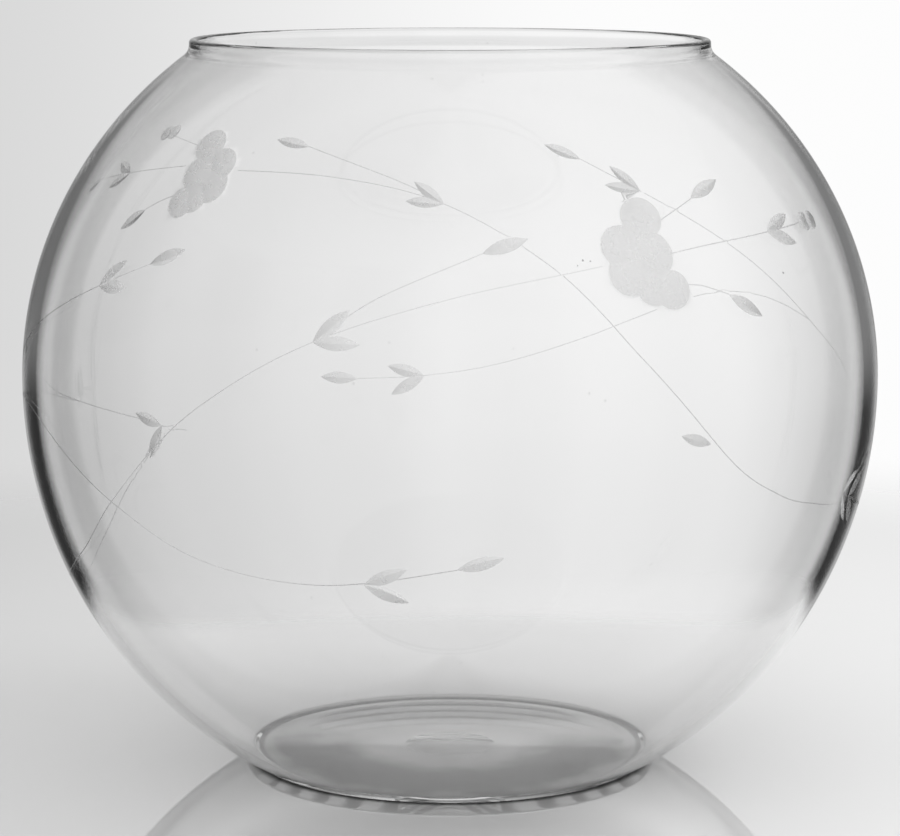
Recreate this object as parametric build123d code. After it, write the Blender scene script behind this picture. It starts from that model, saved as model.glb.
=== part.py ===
"""Rose bowl vase: a blown globe of clear glass with two wheel-cut flower sprays."""
from build123d import *

import os
from math import atan2, cos, hypot, pi, radians, sin, sqrt, tan

# Glass body, in millimetres
OUTER_DIAMETER = 178.0
HEIGHT = 151.6
BELLY_HEIGHT = 81.5
BASE_DIAMETER = 82.0
RIM_DIAMETER = 106.0
LIP = 1.6
LIP_HEIGHT = 2.6
NECK_BEND = 1.5
WALL = 2.8
CROWN_WALL = 0.9
HEEL_WALL = 2.0
FLOOR_THICKNESS = 3.0
FLOOR_FILLET = 1.5
HEEL_FILLET = 0.8
REST_RING_WIDTH = 2.4
KICK_DEPTH = 0.3
PONTIL_DIAMETER = 19.0
PONTIL_DEPTH = 0.4

# Wheel cuts, and the ground skin that the wheel leaves on the floor of each cut
LEAF_LENGTH = 9.2
LEAF_WIDTH = 2.8
LEAF_DEPTH = 0.7
PETAL_DEPTH = 0.35
BUD_RADIUS = 2.0
BUD_SPREAD = 1.5
BUD_DEPTH = 0.35
GROUND_SKIN = 0.15
WHEEL_SWING = 18.0

# Petals of one flower: steps to the east and the north of its middle, and radius
PETALS = [
    (0.8, 6.8, 4.3),
    (1.0, -0.6, 4.9),
    (-4.6, 1.3, 4.3),
    (-3.6, -4.0, 4.6),
    (0.7, -6.6, 4.0),
    (4.3, -7.6, 3.9),
]

# Places on the outer skin, in degrees: longitude from the front towards the right, and latitude.
# A leaf starts at its stalk and has a third angle, its heading above east.
FRONT_FLOWER = (26.5, 23.2)
FRONT_BUD = (60.8, 25.2)
FRONT_LEAVES = [
    (-129.5, -12.5, 25.0), (-129.5, -12.5, -47.0),
    (-53.0, 16.8, 39.0), (-53.0, 16.8, 3.0), (-43.5, 20.5, 23.0),
    (-17.0, 12.0, 43.0), (-17.0, 12.0, -1.0), (4.2, 23.6, 18.0),
    (-11.0, -17.9, 23.0), (-11.0, -17.9, -23.0), (0.9, -15.7, 15.0),
    (36.4, 30.1, 23.0), (49.1, 24.6, 19.0), (49.1, 24.6, -20.0), (38.4, 16.9, -32.0),
]
BACK_FLOWER = (225.2, 26.3)
BACK_BUD = (239.0, 34.5)
BACK_LEAVES = [
    (67.0, -12.5, 25.0), (67.0, -12.5, -47.0), (134.6, -15.8, 6.0),
    (147.5, 21.9, 41.0), (147.5, 21.9, 6.0), (157.4, 26.9, 24.0),
    (181.0, 18.6, 39.0), (181.0, 18.6, 5.0), (205.0, 29.3, 16.0),
    (184.0, -8.3, 15.0), (184.0, -8.3, -28.0), (194.5, -8.5, 5.0),
    (246.2, 28.1, 24.0), (246.2, 28.1, -16.0), (259.2, 28.5, -10.0), (236.7, 20.9, -25.0),
]

# The outer skin is two half ellipses that meet at the belly and run to the base and to the foot of the
# lip. The inner skin follows it, and the wall thins towards the base and towards the crown.
QUARTER_ELLIPSE = (1, sqrt(1 / 2), 1)
BELLY_RADIUS = OUTER_DIAMETER / 2
BASE_RADIUS = BASE_DIAMETER / 2
LIP_RADIUS = (RIM_DIAMETER + LIP) / 2
THROAT_RADIUS = (RIM_DIAMETER - LIP) / 2
NECK_HEIGHT = HEIGHT - LIP_HEIGHT
LOWER_RISE = BELLY_HEIGHT / sqrt(1 - (BASE_RADIUS / BELLY_RADIUS) ** 2)
UPPER_RISE = (NECK_HEIGHT - BELLY_HEIGHT) / sqrt(1 - (LIP_RADIUS / BELLY_RADIUS) ** 2)
INNER_RADIUS = BELLY_RADIUS - WALL
INNER_LOWER_RISE = LOWER_RISE - HEEL_WALL
INNER_UPPER_RISE = UPPER_RISE - CROWN_WALL
THROAT_HEIGHT = BELLY_HEIGHT + INNER_UPPER_RISE * sqrt(1 - (THROAT_RADIUS / INNER_RADIUS) ** 2)

# The shoulder turns by this angle into the upright lip, over the bend's reach on either side of the corner
NECK_RUN = BELLY_RADIUS * (NECK_HEIGHT - BELLY_HEIGHT) / UPPER_RISE
NECK_CLIMB = UPPER_RISE * LIP_RADIUS / BELLY_RADIUS
NECK_TURN = atan2(NECK_RUN, NECK_CLIMB)
NECK_FILLET = NECK_BEND / tan(NECK_TURN / 2)


def half_globe(radius, lower, upper):
    """Half section of a globe: a lower and an upper quarter ellipse that meet at the belly."""
    foot, crown, side = (0, -lower), (0, upper), (radius, 0)
    below = Bezier(foot, (radius, -lower), side, weights=QUARTER_ELLIPSE)
    above = Bezier(side, (radius, upper), crown, weights=QUARTER_ELLIPSE)
    return Pos(0, BELLY_HEIGHT) * make_face([below, above, Line(crown, foot)])


def dish(radius, depth, height):
    """Half section of a hollow with a shallow domed top, open to below."""
    curve = (radius**2 + depth**2) / (2 * depth)
    cap = Pos(0, height + depth - curve) * Circle(curve)
    return cap & Rectangle(radius, height + depth, align=Align.MIN)


def upright_lip():
    """Half section of the thin lip: it stands up from the globe and is rounded by the fire."""
    foot, top = NECK_HEIGHT - LIP_HEIGHT, HEIGHT - LIP / 2
    return make_face([
        Line((THROAT_RADIUS, foot), (LIP_RADIUS, foot)),
        Line((LIP_RADIUS, foot), (LIP_RADIUS, top)),
        ThreePointArc((LIP_RADIUS, top), (RIM_DIAMETER / 2, HEIGHT), (THROAT_RADIUS, top)),
        Line((THROAT_RADIUS, top), (THROAT_RADIUS, foot)),
    ])


def corner(section, x, y):
    """Vertex of a section nearest to a point."""
    return section.vertices().sort_by_distance((x, y, 0))[0]


def blown_body():
    """The glass before cutting: wall, level floor, upright lip and hollowed base."""
    outer = half_globe(BELLY_RADIUS, LOWER_RISE, UPPER_RISE)
    outer &= Rectangle(OUTER_DIAMETER, NECK_HEIGHT, align=Align.MIN)
    outer = fillet(corner(outer, BASE_RADIUS, 0), HEEL_FILLET)
    inner = half_globe(INNER_RADIUS, INNER_LOWER_RISE, INNER_UPPER_RISE)
    inner &= Pos(0, FLOOR_THICKNESS) * Rectangle(OUTER_DIAMETER, 2 * HEIGHT, align=Align.MIN)
    inner = fillet(corner(inner, BASE_RADIUS, FLOOR_THICKNESS), FLOOR_FILLET)
    mouth = Pos(0, BELLY_HEIGHT) * Rectangle(THROAT_RADIUS, HEIGHT, align=Align.MIN)
    wall = outer + upright_lip() - inner - mouth
    bends = [corner(wall, LIP_RADIUS, NECK_HEIGHT), corner(wall, THROAT_RADIUS, THROAT_HEIGHT)]
    kick = dish(BASE_RADIUS - HEEL_FILLET - REST_RING_WIDTH, KICK_DEPTH, 0)
    pontil = dish(PONTIL_DIAMETER / 2, PONTIL_DEPTH, KICK_DEPTH)
    section = fillet(bends, NECK_FILLET) - kick - pontil
    return revolve(Plane.XZ * section, Axis.Z)


def tangent_plane(longitude, latitude):
    """Plane that touches the outer skin there: x to the east, y to the north, z out of the glass."""
    rise = UPPER_RISE if latitude > 0 else LOWER_RISE
    lon, lat = radians(longitude), radians(latitude)
    reach = BELLY_RADIUS * cos(lat)
    origin = (reach * sin(lon), -reach * cos(lon), BELLY_HEIGHT + rise * sin(lat))
    out = cos(lat) / BELLY_RADIUS
    return Plane(origin, (cos(lon), sin(lon), 0), (out * sin(lon), -out * cos(lon), sin(lat) / rise))


def walk(longitude, latitude, east, north):
    """Longitude and latitude reached by a short walk over the outer skin."""
    rise = UPPER_RISE if latitude > 0 else LOWER_RISE
    lat = radians(latitude)
    parallel = BELLY_RADIUS * cos(lat)
    meridian = hypot(BELLY_RADIUS * sin(lat), rise * cos(lat))
    return longitude + 180 / pi * east / parallel, latitude + 180 / pi * north / meridian


def wheel_radius(reach, depth):
    """Radius of a wheel that sinks to a depth and leaves the convex glass at this reach."""
    return 1 / (2 * depth / reach**2 - 1 / BELLY_RADIUS)


def leaf_wheel(longitude, latitude, heading, lift):
    """Rim of a mitre wheel, lifted off the floor of one pointed leaf with a rib down its middle."""
    half = LEAF_LENGTH / 2
    floor = lift - LEAF_DEPTH
    rim = 3 * LEAF_DEPTH
    side = rim * LEAF_WIDTH / 2 / LEAF_DEPTH
    middle = walk(longitude, latitude, half * cos(radians(heading)), half * sin(radians(heading)))
    edge = Polyline((0, floor), (side, floor + rim), (-side, floor + rim), close=True)
    axle = Axis((0, 0, floor + wheel_radius(half, LEAF_DEPTH)), (0, 1, 0))
    section = (Plane.YZ * make_face(edge)).rotate(axle, -WHEEL_SWING)
    return tangent_plane(*middle) * Rot(0, 0, heading) * revolve(section, axle, 2 * WHEEL_SWING)


def print_wheel(longitude, latitude, radius, depth, lift):
    """Ball-edged wheel, lifted off the floor of one round print."""
    ball = wheel_radius(radius, depth)
    return tangent_plane(longitude, latitude) * Pos(0, 0, ball + lift - depth) * Rot(90, 0, 0) * Sphere(ball)


def flower_wheels(longitude, latitude, lift):
    """The passes that grind the overlapping petals of one flower."""
    spots = [(walk(longitude, latitude, east, north), radius) for east, north, radius in PETALS]
    return [print_wheel(*spot, radius, PETAL_DEPTH, lift) for spot, radius in spots]


def leaf_wheels(leaves, lift):
    """The passes that grind all leaves of one spray."""
    return [leaf_wheel(*leaf, lift) for leaf in leaves]


def bud_wheels(longitude, latitude, lift):
    """The two passes that grind one oval bud."""
    spots = [walk(longitude, latitude, east, 0) for east in (-BUD_SPREAD, BUD_SPREAD)]
    return [print_wheel(*spot, BUD_RADIUS, BUD_DEPTH, lift) for spot in spots]


def spray_wheels(lift):
    """Every pass of the wheels, by the name of the cut, lifted off the floors of the cuts."""
    return {
        "front_flower": flower_wheels(*FRONT_FLOWER, lift),
        "front_leaves": leaf_wheels(FRONT_LEAVES, lift),
        "front_bud": bud_wheels(*FRONT_BUD, lift),
        "back_flower": flower_wheels(*BACK_FLOWER, lift),
        "back_leaves": leaf_wheels(BACK_LEAVES, lift),
        "back_bud": bud_wheels(*BACK_BUD, lift),
    }


def joined(shapes):
    """One shape from a list of overlapping ones."""
    return shapes[0].fuse(*shapes[1:]) if len(shapes) > 1 else shapes[0]


def cut_nodes(glass):
    """The cut bowl, and the ground skins that line each sort of cut."""
    passes = spray_wheels(0)
    lifted = spray_wheels(GROUND_SKIN)
    nodes = {name: (glass & joined(passes[name])) - joined(lifted[name]) for name in passes}
    nodes["bowl"] = glass - [joined(wheels) for wheels in passes.values()]
    return nodes


os.makedirs("parts", exist_ok=True)
for node, shape in cut_nodes(blown_body()).items():
    export_step(shape, f"parts/{node}.step")
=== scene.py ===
"""Rose bowl vase: blows the clear glass, cuts its two flower sprays and sets it on a bright table."""

from math import asin, atan2, ceil, cos, degrees, hypot, pi, radians, sin, sqrt, tan

import bpy
from bpy.props import FloatProperty, FloatVectorProperty, IntProperty, PointerProperty
from mathutils import Matrix, Vector


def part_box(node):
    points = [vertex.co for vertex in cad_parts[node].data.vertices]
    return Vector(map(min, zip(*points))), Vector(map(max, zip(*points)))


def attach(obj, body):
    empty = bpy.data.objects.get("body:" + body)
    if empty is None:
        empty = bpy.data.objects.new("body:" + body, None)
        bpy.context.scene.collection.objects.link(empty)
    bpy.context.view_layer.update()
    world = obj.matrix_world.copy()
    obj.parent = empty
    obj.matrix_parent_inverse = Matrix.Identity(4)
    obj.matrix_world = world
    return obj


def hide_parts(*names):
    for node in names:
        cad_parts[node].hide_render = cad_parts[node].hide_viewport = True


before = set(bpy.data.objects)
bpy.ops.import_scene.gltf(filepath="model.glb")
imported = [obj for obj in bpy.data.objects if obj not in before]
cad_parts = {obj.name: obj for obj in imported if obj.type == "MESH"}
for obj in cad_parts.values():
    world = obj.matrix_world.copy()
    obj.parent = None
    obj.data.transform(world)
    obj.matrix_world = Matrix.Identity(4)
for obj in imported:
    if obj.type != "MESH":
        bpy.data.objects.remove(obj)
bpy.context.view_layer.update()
BOWL_LOW, BOWL_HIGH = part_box("bowl")

bl_info = {
    "name": "Rose Bowl Vase",
    "version": (1, 0, 0),
    "blender": (4, 5, 0),
    "location": "View3D > Sidebar > Rose Bowl",
    "description": "Blows a clear glass rose bowl, cuts its flower sprays and sets it on a bright table",
    "category": "Add Mesh",
}

MM = 0.001
BELLY = 81.5 * MM
MERGE = MM * MM

# Angles above which an edge of the glass, of a cut or of a stalk's tool stays sharp
GLASS_CREASE, CUT_CREASE, STALK_CREASE = radians(30.0), radians(12.0), radians(60.0)

# Share of the neck bend's reach that it drops along the shoulder
BEND_DROP = 0.59

# How far past a print's edge its wheel reaches, and how many times the depth of a leaf its wheel's rim stands
PRINT_OVERREACH, RIM_DEPTHS = 1.35, 3

# Petals of one flower: steps to the east and the north of its middle, and radius, in millimetres
PETALS = [
    (0.8, 6.8, 4.3),
    (1.0, -0.6, 4.9),
    (-4.6, 1.3, 4.3),
    (-3.6, -4.0, 4.6),
    (0.7, -6.6, 4.0),
    (4.3, -7.6, 3.9),
]

# Places on the outer skin, in degrees: longitude from the front towards the right, and latitude.
# A leaf starts at its stalk and has a third angle, its heading above east.
FLOWERS = {"front_flower": (26.5, 23.2), "back_flower": (225.2, 26.3)}
BUDS = {"front_bud": (60.8, 25.2), "back_bud": (239.0, 34.5)}
LEAVES = {
    "front_leaves": [
        (-129.5, -12.5, 25.0), (-129.5, -12.5, -47.0),
        (-53.0, 16.8, 39.0), (-53.0, 16.8, 3.0), (-43.5, 20.5, 23.0),
        (-17.0, 12.0, 43.0), (-17.0, 12.0, -1.0), (4.2, 23.6, 18.0),
        (-11.0, -17.9, 23.0), (-11.0, -17.9, -23.0), (0.9, -15.7, 15.0),
        (36.4, 30.1, 23.0), (49.1, 24.6, 19.0), (49.1, 24.6, -20.0), (38.4, 16.9, -32.0),
    ],
    "back_leaves": [
        (67.0, -12.5, 25.0), (67.0, -12.5, -47.0), (134.6, -15.8, 6.0),
        (147.5, 21.9, 41.0), (147.5, 21.9, 6.0), (157.4, 26.9, 24.0),
        (181.0, 18.6, 39.0), (181.0, 18.6, 5.0), (205.0, 29.3, 16.0),
        (184.0, -8.3, 15.0), (184.0, -8.3, -28.0), (194.5, -8.5, 5.0),
        (246.2, 28.1, 24.0), (246.2, 28.1, -16.0), (259.2, 28.5, -10.0), (236.7, 20.9, -25.0),
    ],
}

# Hairline stalks, each through stations in longitude and latitude
STALKS = [
    [(-134.7, -13.7), (-129.5, -12.5), (-125.0, -11.0), (-109.0, -6.5), (-92.0, -1.2), (-71.0, 9.4),
     (-53.0, 16.8), (-43.5, 20.5)],
    [(-129.5, -12.5), (-121.0, -18.5), (-104.0, -25.5), (-84.0, -27.0), (-61.5, -19.5), (-48.5, -10.5),
     (-32.0, 3.0), (-17.0, 12.0), (1.0, 18.0), (20.0, 21.6)],
    [(-17.0, 12.0), (-9.0, 17.8), (4.2, 23.6)],
    [(-109.0, -6.5), (-85.0, -1.7), (-68.0, -2.5), (-48.5, -10.6), (-34.0, -16.3), (-17.0, -18.2),
     (0.9, -15.7)],
    [(30.2, 27.4), (33.0, 28.6), (36.4, 30.0)],
    [(30.4, 22.8), (39.1, 23.8), (59.0, 25.2)],
    [(31.3, 18.6), (34.0, 18.4), (38.4, 16.9)],
    [(67.0, -12.5), (87.5, -4.5), (101.6, 0.5), (113.0, 4.8), (129.3, 13.3), (147.5, 21.9), (157.4, 26.9)],
    [(67.0, -12.5), (87.0, -17.5), (101.5, -20.0), (115.0, -20.8), (130.0, -17.4), (149.0, -4.8),
     (164.0, 8.4), (181.0, 18.6), (198.5, 23.4), (217.8, 25.8)],
    [(181.0, 18.6), (188.3, 22.5), (205.0, 29.3)],
    [(113.0, 4.8), (126.0, 6.9), (138.7, 5.6), (158.0, -2.0), (172.2, -6.5), (184.0, -8.3), (194.5, -8.5)],
    [(229.0, 31.2), (233.5, 32.6), (237.0, 33.7)],
    [(230.0, 27.6), (246.2, 28.1), (259.2, 28.5)],
    [(230.2, 22.6), (233.5, 21.9), (236.7, 20.9)],
]

# Seeds, the small bubbles in the glass: place and radius in millimetres
SEEDS = [
    (-8.6, -3.0, 1.9, 0.5),
    (24.6, -77.3, 113.6, 0.2),
    (26.0, -76.9, 113.4, 0.14),
    (23.6, -78.0, 112.7, 0.14),
    (64.0, -53.3, 108.6, 0.22),
]


def length(name, millimetres, description):
    """A size in the panel, with its default in millimetres."""
    return FloatProperty(
        name=name, description=description, default=millimetres * MM, min=0.0, precision=5,
        subtype="DISTANCE", unit="LENGTH",
    )


def share(name, default, description):
    """A plain number in the panel, from nought to one."""
    return FloatProperty(
        name=name, description=description, default=default, min=0.0, max=1.0, subtype="FACTOR",
    )


def tint(name, default, description):
    """A colour in the panel."""
    return FloatVectorProperty(
        name=name, description=description, default=default, size=3, min=0.0, max=1.0, subtype="COLOR",
    )


class RoseBowlGlass(bpy.types.PropertyGroup):
    """Sizes of the blown glass before it is cut."""
    outer_diameter: length("Diameter", (BOWL_HIGH[0] - BOWL_LOW[0]) / MM, "Across the belly")
    height: length("Height", BOWL_HIGH[2] / MM, "From the table to the top of the rim")
    belly_height: length("Belly height", BELLY / MM, "Height of the widest level")
    base_diameter: length("Base", 82.0, "Across the heel that meets the table")
    rim_diameter: length("Rim", 106.0, "Across the middle of the upright lip")
    lip: length("Lip", 1.6, "Thickness of the upright lip")
    lip_height: length("Lip height", 2.6, "How far the lip stands up from the globe")
    neck_bend: length("Neck bend", 1.5, "Reach of the bend where the globe turns up into the lip")
    wall: length("Wall", 2.8, "Thickness of the wall at the belly")
    crown_wall: length("Crown wall", 0.9, "Thickness to which the wall thins towards the crown of the globe")
    heel_wall: length("Heel wall", 2.0, "Thickness of the wall towards the base")
    floor_thickness: length("Floor", 3.0, "Thickness of the floor")
    floor_fillet: length("Floor fillet", 1.5, "Radius where the floor meets the wall inside")
    heel_fillet: length("Heel fillet", 0.8, "Radius of the heel")
    rest_ring_width: length("Rest ring", 2.4, "Width of the ring that meets the table")
    kick_depth: length("Kick", 0.3, "Depth of the hollow inside the rest ring")
    pontil_diameter: length("Pontil", 19.0, "Across the ground-out pontil mark")
    pontil_depth: length("Pontil depth", 0.4, "Depth of the pontil mark")
    sides: IntProperty(name="Sides", description="Facets round the axis", default=288, min=48, max=512)


class RoseBowlCuts(bpy.types.PropertyGroup):
    """Sizes of the wheel cuts."""
    leaf_length: length("Leaf length", 9.2, "From stalk to tip")
    leaf_width: length("Leaf width", 2.8, "Across the middle of a leaf")
    leaf_depth: length("Leaf depth", 0.7, "Depth of the rib of a leaf")
    petal_depth: length("Petal depth", 0.35, "Depth of a petal's middle")
    bud_radius: length("Bud radius", 2.0, "Radius of each of a bud's two prints")
    bud_spread: length("Bud spread", 1.5, "How far each print lies from the middle of a bud")
    bud_depth: length("Bud depth", 0.35, "Depth of a bud's middle")
    ground_skin: length("Ground skin", 0.15, "Thickness of the roughened layer on a cut's floor")
    seat: length("Seat", 0.02, "Clearance between the roughened layer and the glass under it")
    stalk_width: length("Stalk width", 0.2, "Width of a hairline stalk")
    stalk_depth: length("Stalk depth", 0.04, "Depth of a hairline stalk")
    wheel_swing: FloatProperty(
        name="Wheel swing", description="Half the arc of a mitre wheel that is used",
        default=radians(18.0), subtype="ANGLE", unit="ROTATION",
    )


class RoseBowlFinish(bpy.types.PropertyGroup):
    """Finishes of the glass."""
    clear: tint("Clear glass", (0.985, 0.985, 0.985), "Colour of the clear glass")
    dust: tint("Dust", (0.8, 0.8, 0.8), "Colour of the dust on the glass")
    ground: tint("Ground glass", (0.93, 0.93, 0.93), "Colour of the roughened cuts")
    refraction: FloatProperty(
        name="Refraction", description="Index of refraction", default=1.5, min=1.0, max=2.0,
    )
    ground_roughness: share("Ground roughness", 0.26, "Roughness of the cuts")
    facet_softness: share("Facet softness", 0.6, "How far the grit evens out the slopes of the cuts")
    ground_cover: share("Ground cover", 0.14, "How much each side of the matt skin hides what is behind it")


class RoseBowlStage(bpy.types.PropertyGroup):
    """Table, light and camera."""
    # Painted light: the table top is coloured darker on the left and paler on the right, as if more light
    # fell on it from the right
    table: tint("Table", (0.66, 0.66, 0.66), "Colour of the table top on the left")
    table_lit_right: tint("Bright table", (0.96, 0.96, 0.96), "Colour of the table top on the right")
    table_shade: tint("Table shade", (0.02, 0.02, 0.02), "Colour of the table top in the shade of the base")
    table_radius: length("Table radius", 430.0, "Reach of the table top")
    soft_light: share("Soft light", 0.95, "Light that comes from all round")
    room_light: share("Room light", 0.45, "How bright the room is where the glass mirrors it")
    side_shade: share("Side shade", 0.95, "How dark the surroundings are between the light panels")
    camera_distance: length("Camera distance", 721.7, "From the axis of the bowl, level")
    camera_height: length("Camera height", 183.0, "Above the table")
    camera_pitch: FloatProperty(
        name="Camera pitch", description="Below the horizon", default=radians(8.73),
        subtype="ANGLE", unit="ROTATION",
    )
    camera_lens: FloatProperty(
        name="Lens", description="Focal length in millimetres", default=139.1,
        subtype="DISTANCE_CAMERA", unit="CAMERA",
    )


class Socket:
    """An output of a shader node that adds Math nodes when it stands in an expression."""

    def __init__(self, graph, socket):
        self.graph, self.socket = graph, socket

    def math(self, operation, *values):
        return self.graph.node("Math", dict(enumerate((self, *values))), operation=operation)

    def vector(self, operation):
        return self.graph.node("VectorMath", {0: self}, operation=operation)

    def __add__(self, other):
        return self.math("ADD", other)

    def __sub__(self, other):
        return self.math("SUBTRACT", other)

    def __rsub__(self, other):
        return self.graph.node("Math", {0: other, 1: self}, operation="SUBTRACT")

    def __mul__(self, other):
        return self.math("MULTIPLY", other)

    __radd__, __rmul__ = __add__, __mul__


class Graph:
    """Node tree of one finish or backdrop."""

    def __init__(self, tree):
        self.tree = tree
        tree.nodes.clear()

    def node(self, kind, sockets=None, output=0, **settings):
        """Adds a node with its settings, then the values or links of its sockets, and gives one output."""
        made = self.tree.nodes.new("ShaderNode" + kind)
        for name, value in settings.items():
            setattr(made, name, value)
        for key, value in (sockets or {}).items():
            if isinstance(value, Socket):
                self.tree.links.new(value.socket, made.inputs[key])
            else:
                made.inputs[key].default_value = value
        return Socket(self, made.outputs[output]) if made.outputs else made

    def smooth(self, value, low, high, start=0.0, end=1.0):
        """A soft step from start to end as a value goes from low to high."""
        sockets = {"Value": value, "From Min": low, "From Max": high, "To Min": start, "To Max": end}
        return self.node("MapRange", sockets, interpolation_type="SMOOTHSTEP")

    def fall(self, value, low, high):
        """A soft step down from one to nought."""
        return self.smooth(value, low, high, 1.0, 0.0)

    def blend(self, factor, first, second):
        """A colour between two colours."""
        return self.node("Mix", {0: factor, 6: (*first, 1.0), 7: (*second, 1.0)}, 2, data_type="RGBA")


def finish(name):
    """A new material and its empty graph."""
    material = bpy.data.materials.new(name)
    material.use_nodes = True
    return material, Graph(material.node_tree)


def clear_glass(settings):
    """Fire-polished glass: faintly wavy, with a thin film of dust in places."""
    material, graph = finish("clear_glass")
    place = graph.node("TexCoord", output="Object")
    wave = graph.node("TexNoise", {"Vector": place, "Scale": 26.0, "Detail": 1.0})
    film = graph.node("TexNoise", {"Vector": place, "Scale": 60.0, "Detail": 6.0, "Roughness": 0.65})
    speck = graph.node("TexVoronoi", {"Vector": place, "Scale": 210.0}, feature="F1")
    dust = graph.fall(speck, 0.02, 0.10) * graph.smooth(film, 0.52, 0.62)
    bump = graph.node("Bump", {"Height": wave, "Strength": 0.06, "Distance": 0.0006})
    shader = graph.node("BsdfPrincipled", {
        "Base Color": graph.blend(dust, settings.clear, settings.dust),
        "Roughness": graph.smooth(film, 0.45, 0.75, 0.0, 0.02),
        "Normal": bump,
        "Transmission Weight": 1.0,
        "IOR": settings.refraction,
    })
    graph.node("OutputMaterial", {"Surface": shader})
    return material


def roughened(name, settings, transmission, alpha, softness):
    """Glass left matt by the wheel, with its grit and paler patches."""
    material, graph = finish(name)
    place = graph.node("TexCoord", output="Object")
    grit = graph.node("TexNoise", {"Vector": place, "Scale": 4200.0, "Detail": 2.0})
    patch = graph.node("TexNoise", {"Vector": place, "Scale": 420.0, "Detail": 3.0})
    level = settings.ground_roughness
    colour = graph.blend(patch, 0.9 * Vector(settings.ground), settings.ground)
    centre = graph.node("VectorMath", {0: place, 1: (0.0, 0.0, BELLY)}, operation="SUBTRACT")
    out = centre.vector("NORMALIZE")
    facet = graph.node("NewGeometry", output="Normal")
    side = graph.node("VectorMath", {0: facet, 1: out}, output="Value", operation="DOT_PRODUCT").math("SIGN")
    even = graph.node("VectorMath", {0: out, "Scale": side}, operation="SCALE")
    soft = graph.node("Mix", {0: softness, 4: facet, 5: even}, 1, data_type="VECTOR")
    bump = graph.node("Bump", {"Height": grit, "Strength": 0.25, "Distance": 0.00005,
                               "Normal": soft.vector("NORMALIZE")})
    shader = graph.node("BsdfPrincipled", {
        "Base Color": colour,
        "Roughness": graph.smooth(patch, 0.3, 0.7, 0.85 * level, 1.15 * level),
        "Normal": bump,
        "Transmission Weight": transmission,
        "Alpha": alpha,
        "IOR": settings.refraction,
    })
    graph.node("OutputMaterial", {"Surface": shader})
    return material


def ground_glass(settings):
    """Thin matt skin on the floor of a cut, half seen through, made once for all the cuts."""
    made = bpy.data.materials.get("matt_skin")
    return made or roughened("matt_skin", settings, 0.6, settings.ground_cover, settings.facet_softness)


def cut_floor(settings):
    """Bare glass under the matt skin."""
    return roughened("cut_floor", settings, 1.0, 1.0, settings.facet_softness)


def stalk_line(settings):
    """Hairline scratch of a stalk, with its full slopes."""
    return roughened("stalk_line", settings, 1.0, 1.0, 0.0)


def shade_under_base(graph, place, distance, east, north):
    """Painted shadow: a dark line where the heel meets the table, and an uneven crescent of painted shade
    inside it.
    """
    uneven = graph.node("TexNoise", {"Vector": place, "Scale": 90.0, "Detail": 2.0}) - 0.5
    reach = distance + 12 * MM * uneven
    ring = graph.smooth(reach, 14 * MM, 23 * MM) * graph.fall(reach, 35 * MM, 40 * MM)
    front = graph.fall(north + 20 * MM * uneven, -4 * MM, 14 * MM)
    horns = graph.smooth(east.math("ABSOLUTE"), 12 * MM, 26 * MM, 0.7, 1.0)
    contact_shadow = graph.smooth(distance, 39.6 * MM, 40.4 * MM) * graph.fall(distance, 41.2 * MM, 43.6 * MM)
    return (0.85 * ring * front * horns).math("MAXIMUM", 0.9 * contact_shadow)


def table_top(settings):
    """Pale polished table with painted light, paler to the right, and painted shade under the base; it fades
    into the bright backdrop at its edge, sooner where it is mirrored.
    """
    material, graph = finish("table_top")
    place = graph.node("TexCoord", output="Object")
    distance = graph.node("VectorMath", {0: place}, output="Value", operation="LENGTH")
    east, north = (graph.node("SeparateXYZ", {0: place}, output=axis) for axis in "XY")
    # Painted light: the table's colour grows paler from left to right, standing in for light from the right
    colour = graph.blend(graph.smooth(east, -200 * MM, 200 * MM), settings.table, settings.table_lit_right)
    polish = graph.node("BsdfPrincipled", {"Base Color": colour, "Roughness": 0.03, "IOR": 1.8})
    # Painted shadow: a dark matt colour that is mixed into the table top where the shade mask falls
    dark = graph.node("BsdfDiffuse", {"Color": (*settings.table_shade, 1.0)})
    shade = shade_under_base(graph, place, distance, east, north)
    shaded = graph.node("MixShader", {0: shade, 1: polish, 2: dark})
    mirrored = graph.node("LightPath", output="Is Glossy Ray")
    edge = graph.smooth(distance, 0.62 * settings.table_radius, 0.98 * settings.table_radius)
    near_edge = mirrored * graph.smooth(distance, 0.28 * settings.table_radius, 0.35 * settings.table_radius)
    fade = edge.math("MAXIMUM", near_edge)
    surface = graph.node("MixShader", {0: fade, 1: shaded, 2: graph.node("BsdfTransparent")})
    graph.node("OutputMaterial", {"Surface": surface})
    return material


def room_shade(graph, turn, up):
    """How dark the room is beside the backdrop and in the gaps between the light panels further round."""
    beside = 0.5 * graph.smooth(turn, 0.09, 0.27) + 0.5 * graph.smooth(turn, 0.27, 0.36)
    gap = 0.5 - 0.5 * (8.0 * turn).math("COSINE")
    around = 0.25 * graph.smooth(gap, 0.2, 0.98) * graph.smooth(turn, 0.8, 1.0)
    level = graph.smooth(up, -0.17, -0.09, 1.0, 0.8) * graph.smooth(up, 0.06, 0.32, 1.0, 0.45)
    return level * (beside * graph.fall(turn, 0.61, 0.72) + around)


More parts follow.
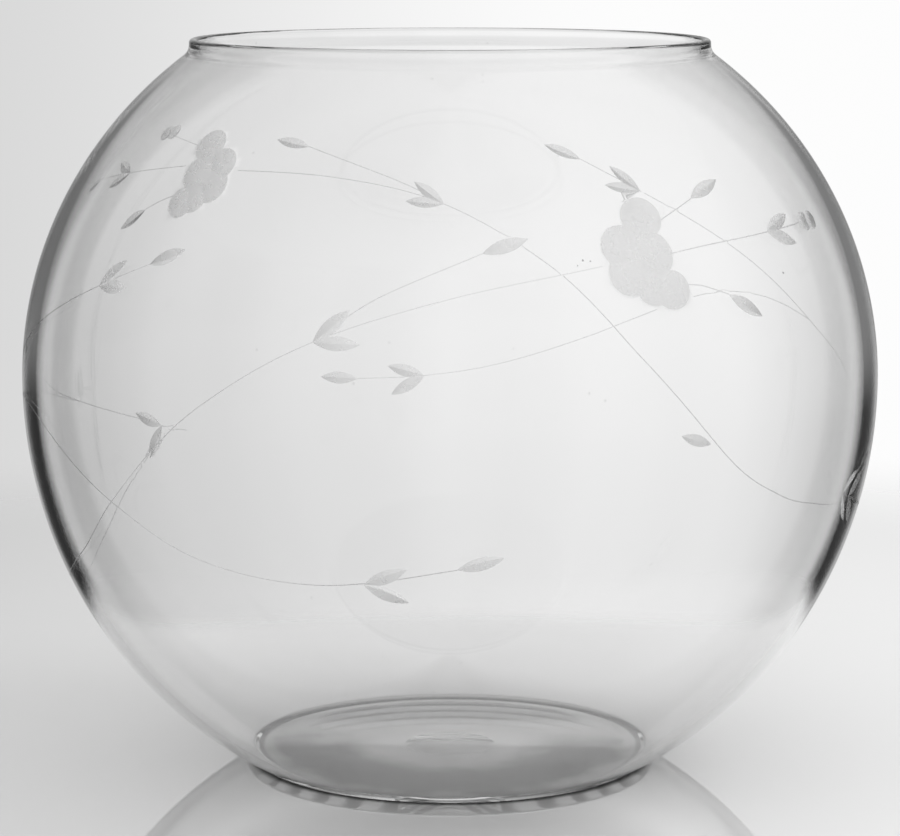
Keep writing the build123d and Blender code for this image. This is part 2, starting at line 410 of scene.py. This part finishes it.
def studio_world(settings):
    """Bright backdrop behind the bowl in a dim room, whose dark gaps give the glass its dark edges."""
    world = bpy.data.worlds.new("studio")
    world.use_nodes = True
    graph = Graph(world.node_tree)
    direction = graph.node("TexCoord", output="Generated")
    east, north, up = (graph.node("SeparateXYZ", {0: direction}, output=axis) for axis in "XYZ")
    turn = east.math("ARCTAN2", north).math("ABSOLUTE")
    lit = 1.0 - settings.side_shade * room_shade(graph, turn, up)
    seen = graph.node("LightPath", output="Is Camera Ray")
    through = graph.node("LightPath", output="Is Transmission Ray")
    mirror = graph.node("LightPath", output="Is Glossy Ray") * (1.0 - through)
    backdrop = graph.smooth(east, -0.16, 0.06, 0.68, 0.98)
    ceiling = graph.smooth(up, 0.234, 0.258, 0.0, 0.62) * graph.fall(turn, 0.3, 0.6)
    sweep = graph.smooth(up, -0.2, -0.1, 0.88, 1.0) * (1.0 - ceiling)
    panel = graph.smooth(up, 0.17, 0.27, 0.55, 0.85)
    room = settings.room_light + graph.smooth(north, 0.7, 0.95) * (panel - settings.room_light)
    strength = (seen + through * sweep * lit) * backdrop + mirror * room * lit + (
        1.0 - seen - through - mirror) * settings.soft_light
    shader = graph.node("Background", {"Color": (1.0, 1.0, 1.0, 1.0), "Strength": strength})
    graph.node("OutputWorld", {"Surface": shader})
    return world


def picked(piece):
    """Selects one piece alone and makes it active."""
    bpy.ops.object.select_all(action="DESELECT")
    piece.select_set(True)
    bpy.context.view_layer.objects.active = piece
    return piece


def drawn(name, points):
    """A line through points, left in edit mode: one vertex is extruded from each point to the next."""
    bpy.ops.object.select_all(action="DESELECT")
    bpy.ops.mesh.primitive_plane_add(size=MM)
    piece = bpy.context.active_object
    piece.name = piece.data.name = name
    bpy.ops.object.mode_set(mode="EDIT")
    bpy.ops.mesh.merge(type="CENTER")
    bpy.ops.transform.translate(value=points[0])
    for here, there in zip(points, points[1:]):
        bpy.ops.mesh.extrude_region_move(TRANSFORM_OT_translate={"value": Vector(there) - Vector(here)})
    bpy.ops.mesh.select_all(action="SELECT")
    return piece


def closed_up(angle):
    """Merges the seams and poles of the mesh in edit mode, turns its faces outwards and smooths it."""
    bpy.ops.mesh.select_all(action="SELECT")
    bpy.ops.mesh.remove_doubles(threshold=MERGE)
    bpy.ops.mesh.normals_make_consistent(inside=False)
    bpy.ops.object.mode_set(mode="OBJECT")
    bpy.ops.object.shade_smooth_by_angle(angle=angle)


def turned(name, profile, sides):
    """A solid of revolution about Z from radii and heights of a profile that starts and ends on the axis."""
    piece = drawn(name, [(radius, 0.0, height) for radius, height in profile])
    bpy.ops.object.mode_set(mode="OBJECT")
    lathe = piece.modifiers.new("lathe", "SCREW")
    lathe.axis, lathe.angle, lathe.steps, lathe.render_steps = "Z", 2 * pi, sides, sides
    lathe.use_merge_vertices, lathe.merge_threshold = True, MERGE
    bpy.ops.object.modifier_apply(modifier=lathe.name)
    bpy.ops.object.mode_set(mode="EDIT")
    closed_up(GLASS_CREASE)
    return piece


def arc(centre, radius, start, end, steps):
    """Points along an arc, from one angle to another."""
    angles = [start + (end - start) * step / steps for step in range(steps + 1)]
    return [(centre[0] + radius * cos(angle), centre[1] + radius * sin(angle)) for angle in angles]


def eased(start, corner, end, steps):
    """Points along a corner that is eased from start to end."""
    parts = [step / steps for step in range(steps + 1)]
    return [tuple((1 - t) ** 2 * a + 2 * t * (1 - t) * b + t * t * c for a, b, c in zip(start, corner, end))
            for t in parts]


class Globe:
    """A globe of two half ellipses that meet at the belly."""

    def __init__(self, radius, lower, upper, belly):
        self.radius, self.lower, self.upper, self.belly = radius, lower, upper, belly

    def rise(self, latitude):
        return self.upper if latitude > 0 else self.lower

    def point(self, latitude):
        """Radius and height at a latitude."""
        return self.radius * cos(latitude), self.belly + self.rise(latitude) * sin(latitude)

    def latitude_at(self, height):
        return asin((height - self.belly) / (self.upper if height > self.belly else self.lower))

    def latitude_of_mouth(self, radius):
        """Latitude above the belly where the globe narrows to a radius."""
        return atan2(sqrt(1 - (radius / self.radius) ** 2), radius / self.radius)

    def band(self, start, end, steps):
        """Points from one latitude to another."""
        return [self.point(start + (end - start) * step / steps) for step in range(steps + 1)]

    def heel(self, level, fillet, steps):
        """Eased corner from a level floor up to the wall, and the latitude where it meets the wall."""
        floor = self.latitude_at(level)
        leaning = atan2(self.lower * cos(floor), -self.radius * sin(floor))
        meet = self.latitude_at(level + fillet * tan(leaning / 2) * sin(leaning))
        end = self.point(meet)
        run = (end[1] - level) * -self.radius * sin(meet) / (self.lower * cos(meet))
        corner = end[0] - run
        start = corner - hypot(run, end[1] - level)
        return eased((start, level), (corner, level), end, steps), meet


def outer_globe(size):
    """Outer skin of the bowl."""
    belly, lip = size.outer_diameter / 2, (size.rim_diameter + size.lip) / 2
    lower = size.belly_height / sqrt(1 - (size.base_diameter / 2 / belly) ** 2)
    upper = (size.height - size.lip_height - size.belly_height) / sqrt(1 - (lip / belly) ** 2)
    return Globe(belly, lower, upper, size.belly_height)


def glass_section(size):
    """Half section of the glass, from the axis under the base, round the rim, to the axis on the floor."""
    outer = outer_globe(size)
    inner = Globe(
        outer.radius - size.wall, outer.lower - size.heel_wall, outer.upper - size.crown_wall, outer.belly)
    rim, half, foot = size.rim_diameter / 2, size.lip / 2, size.height - size.lip_height
    throat = inner.point(inner.latitude_of_mouth(rim - half))[1]
    bend = size.neck_bend
    neck, shoulder = outer.latitude_at(foot - BEND_DROP * bend), inner.latitude_at(throat - BEND_DROP * bend)

    def dish(radius, depth, height, start, steps):
        curve = (radius**2 + depth**2) / (2 * depth)
        across = [start + (radius - start) * step / steps for step in range(steps + 1)]
        return [(r, height + depth - curve + sqrt(curve**2 - r**2)) for r in across]

    pontil = size.pontil_diameter / 2
    kick = size.base_diameter / 2 - size.heel_fillet - size.rest_ring_width
    heel, heel_top = outer.heel(0.0, size.heel_fillet, 4)
    corner, corner_top = inner.heel(size.floor_thickness, size.floor_fillet, 12)
    return [
        *dish(pontil, size.pontil_depth, size.kick_depth, 0.0, 8),
        *dish(kick, size.kick_depth, 0.0, pontil, 10),
        *heel,
        *outer.band(heel_top, neck, 112)[1:],
        *eased(outer.point(neck), (rim + half, foot), (rim + half, foot + bend), 6)[1:],
        *arc((rim, size.height - half), half, 0.0, pi, 14),
        *eased((rim - half, throat + bend), (rim - half, throat), inner.point(shoulder), 6),
        *inner.band(shoulder, corner_top, 62)[1:],
        *corner[-2::-1],
        (0.0, size.floor_thickness),
    ]


def blown_glass(name, size):
    """The bowl before it is cut."""
    return turned(name, glass_section(size), size.sides)


def on_glass(globe, longitude, latitude):
    """Frame on the outer skin: x to the east, y to the north, z out of the glass."""
    lon, lat = radians(longitude), radians(latitude)
    radius, height = globe.point(lat)
    east = Vector((cos(lon), sin(lon), 0.0))
    level = cos(lat) / globe.radius
    out = Vector((level * sin(lon), -level * cos(lon), sin(lat) / globe.rise(lat))).normalized()
    origin = Vector((radius * sin(lon), -radius * cos(lon), height))
    return Matrix.Translation(origin) @ Matrix((east, out.cross(east), out)).transposed().to_4x4()


def walked(globe, longitude, latitude, east, north):
    """Longitude and latitude after a short walk over the outer skin."""
    lat = radians(latitude)
    parallel = globe.radius * cos(lat)
    meridian = hypot(globe.radius * sin(lat), globe.rise(lat) * cos(lat))
    return longitude + degrees(east / parallel), latitude + degrees(north / meridian)


def wheel_radius(globe, reach, depth):
    """Radius of a wheel that sinks to a depth and leaves the convex glass at this reach."""
    return 1 / (2 * depth / reach**2 - 1 / globe.radius)


def put(tool, place):
    """Moves a tool to its place, with the place kept in its mesh."""
    picked(tool).matrix_world = place
    bpy.ops.object.transform_apply(location=True, rotation=True, scale=True)
    return tool


def twin(piece):
    """A copy of an object with its own mesh."""
    copy = piece.copy()
    copy.data = piece.data.copy()
    bpy.context.collection.objects.link(copy)
    return copy


def dropped(*tools):
    """Removes tools that have done their work."""
    for tool in tools:
        bpy.data.meshes.remove(tool.data)


def carved(piece, tool, operation):
    """Applies one boolean of a tool to a piece, and drops the tool."""
    modifier = piece.modifiers.new("carve", "BOOLEAN")
    modifier.operation, modifier.solver, modifier.object = operation, "MANIFOLD", tool
    modifier.material_mode = "TRANSFER"
    with bpy.context.temp_override(object=piece, active_object=piece):
        bpy.ops.object.modifier_apply(modifier=modifier.name)
    dropped(tool)
    return piece


def joined(tools):
    """One tool from a list of overlapping ones."""
    first, *others = tools
    for other in others:
        carved(first, other, "UNION")
    return first


def mitre_wheel(globe, cuts, lift):
    """Rim of the wheel that grinds a pointed, ribbed leaf along X, lifted off the floor of the cut."""
    floor, rim = lift - cuts.leaf_depth, RIM_DEPTHS * cuts.leaf_depth
    side = rim * cuts.leaf_width / 2 / cuts.leaf_depth
    axle = Vector((0.0, 0.0, floor + wheel_radius(globe, cuts.leaf_length / 2, cuts.leaf_depth)))
    back = Matrix.Rotation(-cuts.wheel_swing, 3, "Y")
    edge = [Vector((0.0, 0.0, floor)), Vector((0.0, side, floor + rim)), Vector((0.0, -side, floor + rim))]
    wheel = drawn("mitre_wheel", [axle + back @ (point - axle) for point in edge])
    bpy.ops.mesh.edge_face_add()
    bpy.ops.mesh.spin(steps=32, angle=2 * cuts.wheel_swing, center=axle, axis=(0.0, -1.0, 0.0))
    closed_up(CUT_CREASE)
    return wheel


def leaf_wheels(globe, cuts, leaves, lift):
    """The passes that grind all leaves of one spray."""
    wheel = mitre_wheel(globe, cuts, lift)
    half, tools = cuts.leaf_length / 2, []
    for longitude, latitude, heading in leaves:
        turn = radians(heading)
        middle = walked(globe, longitude, latitude, half * cos(turn), half * sin(turn))
        tools.append(put(twin(wheel), on_glass(globe, *middle) @ Matrix.Rotation(turn, 4, "Z")))
    dropped(wheel)
    return tools


def print_wheel(globe, place, radius, depth, lift):
    """Ball-edged wheel over one round print, lifted off the floor of the cut."""
    ball = wheel_radius(globe, radius, depth)
    centre, reach = (0.0, ball + lift - depth), asin(PRINT_OVERREACH * radius / ball)
    profile = arc(centre, ball, -pi / 2, reach - pi / 2, 14)
    wheel = turned("print_wheel", [*profile, (0.0, profile[-1][1] + MM)], 64)
    return put(wheel, on_glass(globe, *place))


def flower_wheels(globe, cuts, place, lift):
    """The passes that grind the overlapping petals of one flower."""
    spots = [(walked(globe, *place, east * MM, north * MM), radius * MM) for east, north, radius in PETALS]
    return [print_wheel(globe, spot, radius, cuts.petal_depth, lift) for spot, radius in spots]


def bud_wheels(globe, cuts, place, lift):
    """The two passes that grind one oval bud."""
    spots = [walked(globe, *place, east, 0.0) for east in (-cuts.bud_spread, cuts.bud_spread)]
    return [print_wheel(globe, spot, cuts.bud_radius, cuts.bud_depth, lift) for spot in spots]


def curve_between(stations, step):
    """Longitudes and latitudes along a smooth line through stations, about one step in degrees apart."""
    ends = [stations[0], *stations, stations[-1]]
    line = [stations[0]]
    for before, here, there, after in zip(ends, ends[1:], ends[2:], ends[3:]):
        count = ceil(hypot(there[0] - here[0], there[1] - here[1]) / step)
        for part in range(1, count + 1):
            t = part / count
            line.append(tuple(
                b + 0.5 * t * (c - a + t * (2 * a - 5 * b + 4 * c - d + t * (3 * b - a - 3 * c + d)))
                for a, b, c, d in zip(before, here, there, after)))
    return line


def stalk_tool(globe, width, depth, stations):
    """Fine round tool along one hairline stalk."""
    radius = (width**2 / 4 + depth**2) / (2 * depth)
    lift = Vector((0.0, 0.0, radius - depth))
    line = drawn("stalk", [on_glass(globe, *spot) @ lift for spot in curve_between(stations, 1.4)])
    bpy.ops.object.mode_set(mode="OBJECT")
    bpy.ops.object.convert(target="CURVE")
    line = bpy.context.active_object
    line.data.bevel_depth, line.data.bevel_resolution, line.data.use_fill_caps = radius, 4, True
    bpy.ops.object.convert(target="MESH")
    bpy.ops.object.mode_set(mode="EDIT")
    closed_up(STALK_CREASE)
    return bpy.context.active_object


def seed_tool(east, north, up, radius):
    """Ball that leaves one seed, a small bubble, inside the glass."""
    profile = arc((0.0, 0.0), radius * MM, -pi / 2, pi / 2, 12)
    return put(turned("seed", profile, 20), Matrix.Translation(Vector((east, north, up)) * MM))


def dressed(piece, material):
    """Gives a piece its finish all over."""
    piece.data.materials.clear()
    piece.data.materials.append(material)


def kept(piece, node):
    """A finished piece stands for a node of the frame."""
    if not piece.data.polygons:
        raise RuntimeError(f"{piece.name} came out empty")
    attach(piece, "root")
    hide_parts(node)


def ground_skin(node, wheels, lifted, scene):
    """The roughened layer on the floors of one sort of cut, as a piece of its own."""
    skin = joined(wheels)
    carved(skin, blown_glass("blank", scene.rose_bowl_glass), "INTERSECT")
    carved(skin, joined(lifted), "DIFFERENCE")
    skin.name = skin.data.name = node + "_ground"
    dressed(picked(skin), ground_glass(scene.rose_bowl_finish))
    bpy.ops.object.shade_smooth_by_angle(angle=CUT_CREASE)
    kept(skin, node)


def lined(scene, wheels, places):
    """Lines the cuts that one sort of wheel grinds at its places with ground glass."""
    cuts, globe = scene.rose_bowl_cuts, outer_globe(scene.rose_bowl_glass)
    for node, place in places.items():
        passes = [wheels(globe, cuts, place, lift) for lift in (0.0, cuts.ground_skin)]
        ground_skin(node, *passes, scene)


class ROSEBOWL_OT_bowl(bpy.types.Operator):
    """Blows the glass and grinds the seats of the cuts, the hairline stalks and the seeds"""
    bl_idname = "rosebowl.bowl"
    bl_label = "Bowl"

    def execute(self, context):
        size, cuts = context.scene.rose_bowl_glass, context.scene.rose_bowl_cuts
        finishes = context.scene.rose_bowl_finish
        clear, floor, hairline = clear_glass(finishes), cut_floor(finishes), stalk_line(finishes)
        globe = outer_globe(size)
        bowl = blown_glass("bowl_glass", size)
        dressed(bowl, clear)
        seats = [
            *(flower_wheels(globe, cuts, place, -cuts.seat) for place in FLOWERS.values()),
            *(leaf_wheels(globe, cuts, leaves, -cuts.seat) for leaves in LEAVES.values()),
            *(bud_wheels(globe, cuts, place, -cuts.seat) for place in BUDS.values()),
        ]
        stalks = [stalk_tool(globe, cuts.stalk_width, cuts.stalk_depth, stations) for stations in STALKS]
        seeds = [seed_tool(*seed) for seed in SEEDS]
        for tools, material in ((seeds, clear), (stalks, hairline), (sum(seats, []), floor)):
            tool = joined(tools)
            dressed(tool, material)
            carved(bowl, tool, "DIFFERENCE")
        picked(bowl)
        bpy.ops.object.shade_smooth_by_angle(angle=CUT_CREASE)
        kept(bowl, "bowl")
        return {"FINISHED"}


class ROSEBOWL_OT_flowers(bpy.types.Operator):
    """Lines the petals of both flowers with ground glass"""
    bl_idname = "rosebowl.flowers"
    bl_label = "Flowers"

    def execute(self, context):
        lined(context.scene, flower_wheels, FLOWERS)
        return {"FINISHED"}


class ROSEBOWL_OT_leaves(bpy.types.Operator):
    """Lines the leaves of both sprays with ground glass"""
    bl_idname = "rosebowl.leaves"
    bl_label = "Leaves"

    def execute(self, context):
        lined(context.scene, leaf_wheels, LEAVES)
        return {"FINISHED"}


class ROSEBOWL_OT_buds(bpy.types.Operator):
    """Lines both buds with ground glass"""
    bl_idname = "rosebowl.buds"
    bl_label = "Buds"

    def execute(self, context):
        lined(context.scene, bud_wheels, BUDS)
        return {"FINISHED"}


class ROSEBOWL_OT_stage(bpy.types.Operator):
    """Sets the table, the light and the camera"""
    bl_idname = "rosebowl.stage"
    bl_label = "Stage"

    def execute(self, context):
        settings = context.scene.rose_bowl_stage
        bpy.ops.object.select_all(action="DESELECT")
        bpy.ops.mesh.primitive_circle_add(
            vertices=128, radius=settings.table_radius, fill_type="NGON", location=(0.0, 0.0, -0.05 * MM))
        table = bpy.context.active_object
        table.name = table.data.name = "table"
        dressed(table, table_top(settings))
        context.scene.world = studio_world(settings)
        bpy.ops.object.light_add(
            type="AREA", location=(0.5, 0.1, 0.5), rotation=(radians(-8.0), radians(44.0), 0.0))
        panel = bpy.context.active_object
        panel.name = panel.data.name = "overhead_panel"
        panel.data.shape, panel.data.size, panel.data.energy = "DISK", 0.4, 1.0
        panel.visible_glossy = panel.visible_transmission = False
        bpy.ops.object.camera_add(
            location=(0.0, -settings.camera_distance, settings.camera_height),
            rotation=(pi / 2 - settings.camera_pitch, 0.0, 0.0))
        camera = bpy.context.active_object
        camera.data.sensor_fit, camera.data.sensor_width = "HORIZONTAL", 36.0
        camera.data.lens, camera.data.clip_start = settings.camera_lens, 0.01
        context.scene.camera = camera
        context.scene.view_settings.view_transform = "Standard"
        paths = context.scene.cycles
        paths.max_bounces, paths.transmission_bounces, paths.glossy_bounces = 32, 32, 24
        return {"FINISHED"}


class ROSEBOWL_PT_panel(bpy.types.Panel):
    """Steps and sizes of the rose bowl"""
    bl_idname = "ROSEBOWL_PT_panel"
    bl_label = "Rose Bowl Vase"
    bl_space_type, bl_region_type, bl_category = "VIEW_3D", "UI", "Rose Bowl"

    def draw(self, context):
        for step in STEPS:
            self.layout.operator(step.bl_idname)
        for group in GROUPS:
            box = self.layout.box()
            settings = getattr(context.scene, group)
            for name in settings.bl_rna.properties.keys():
                if name not in ("rna_type", "name"):
                    box.prop(settings, name)


STEPS = (ROSEBOWL_OT_stage, ROSEBOWL_OT_bowl, ROSEBOWL_OT_flowers, ROSEBOWL_OT_leaves, ROSEBOWL_OT_buds)
GROUPS = {
    "rose_bowl_glass": RoseBowlGlass,
    "rose_bowl_cuts": RoseBowlCuts,
    "rose_bowl_finish": RoseBowlFinish,
    "rose_bowl_stage": RoseBowlStage,
}


def register():
    for kind in (*GROUPS.values(), *STEPS, ROSEBOWL_PT_panel):
        bpy.utils.register_class(kind)
    for name, kind in GROUPS.items():
        setattr(bpy.types.Scene, name, PointerProperty(type=kind))


def unregister():
    for name in GROUPS:
        delattr(bpy.types.Scene, name)
    for kind in (ROSEBOWL_PT_panel, *reversed(STEPS), *reversed(GROUPS.values())):
        bpy.utils.unregister_class(kind)


def main():
    register()
    bpy.ops.rosebowl.stage()
    bpy.ops.rosebowl.bowl()
    bpy.ops.rosebowl.flowers()
    bpy.ops.rosebowl.leaves()
    bpy.ops.rosebowl.buds()


if __name__ == "__main__":
    main()
